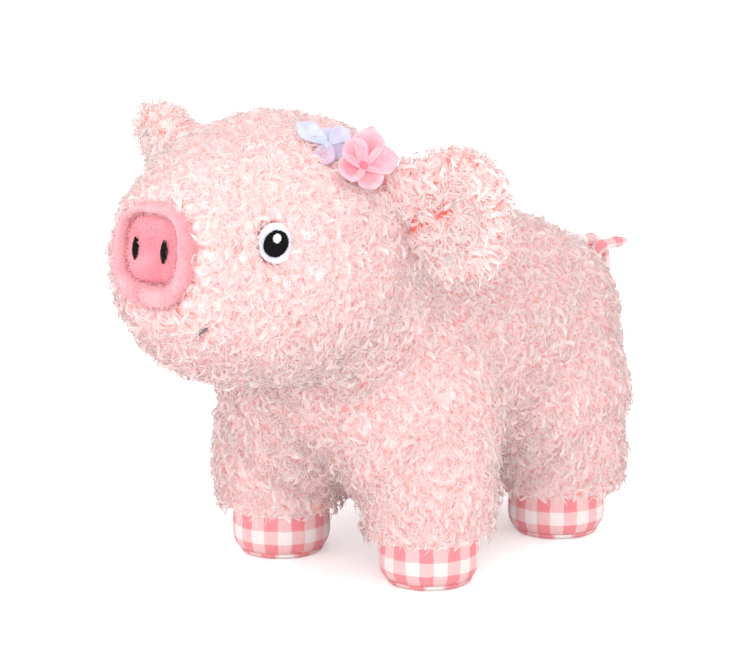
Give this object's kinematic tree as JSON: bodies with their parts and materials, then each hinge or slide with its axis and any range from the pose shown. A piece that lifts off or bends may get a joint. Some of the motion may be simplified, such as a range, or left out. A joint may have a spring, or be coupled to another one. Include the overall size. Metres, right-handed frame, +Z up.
{
  "type": "plush pig",
  "caption": "Standing plush pig of curled pile with stuffed head, body and legs, velour snout, gingham feet, curled gingham tail, felt flowers and soft ears that fold at their roots.",
  "frame": {"origin": "on the ground under the middle of the pig's length and width, at the underside of the soles", "axes": "+Z up, the pig faces -Y, its left side is +X"},
  "size_m": [0.1985, 0.3464, 0.2163],
  "materials": {
    "curled_plush": "matte",
    "gingham_cotton": "matte",
    "velour": "matte",
    "deep_velour": "matte",
    "pink_felt": "matte",
    "deep_pink_felt": "matte",
    "blue_felt": "matte",
    "black_thread": "satin",
    "grey_thread": "satin",
    "white_thread": "satin",
    "white_felt": "matte",
    "polyester_fill": "matte"
  },
  "bodies": {
    "body": {"body_cover": "curled_plush", "body_stuffing": "polyester_fill", "sole_front_left": "gingham_cotton", "cuff_front_left": "gingham_cotton", "leg_cover_front_left": "curled_plush", "leg_stuffing_front_left": "polyester_fill", "sole_front_right": "gingham_cotton", "cuff_front_right": "gingham_cotton", "leg_cover_front_right": "curled_plush", "leg_stuffing_front_right": "polyester_fill", "sole_hind_left": "gingham_cotton", "cuff_hind_left": "gingham_cotton", "leg_cover_hind_left": "curled_plush", "leg_stuffing_hind_left": "polyester_fill", "sole_hind_right": "gingham_cotton", "cuff_hind_right": "gingham_cotton", "leg_cover_hind_right": "curled_plush", "leg_stuffing_hind_right": "polyester_fill", "head_cover": "curled_plush", "head_stuffing": "polyester_fill", "eye_white_left": "white_felt", "pupil_left": "black_thread", "eye_highlight_left": "white_thread", "eye_white_right": "white_felt", "pupil_right": "black_thread", "eye_highlight_right": "white_thread", "mouth_stitching": "grey_thread", "snout_ring": "velour", "snout_pad": "deep_velour", "nostril_left": "black_thread", "nostril_right": "black_thread", "pink_flower": "pink_felt", "pink_flower_centre": "deep_pink_felt", "blue_flower": "blue_felt"},
    "ear_left": {"ear_front_left": "curled_plush", "ear_back_left": "curled_plush"},
    "ear_right": {"ear_front_right": "curled_plush", "ear_back_right": "curled_plush"},
    "tail": {"tail": "gingham_cotton"}
  },
  "joints": [
    {"name": "ear_left_fold", "type": "hinge", "parent": "body", "child": "ear_left", "pos_m": [0.053, -0.071, 0.17676], "axis": [0.1821, -0.1804, 0.9666], "range_deg": [-10, 25], "stiffness_Nm_per_rad": 0.01},
    {"name": "ear_right_fold", "type": "hinge", "parent": "body", "child": "ear_right", "pos_m": [-0.053, -0.071, 0.17676], "axis": [-0.2027, -0.1568, 0.9666], "range_deg": [-25, 10], "stiffness_Nm_per_rad": 0.01},
    {"name": "tail_swing", "type": "hinge", "parent": "body", "child": "tail", "pos_m": [0, 0.12096, 0.122], "axis": [0, 0, 1], "range_deg": [-25, 25], "stiffness_Nm_per_rad": 0.005}
  ]
}
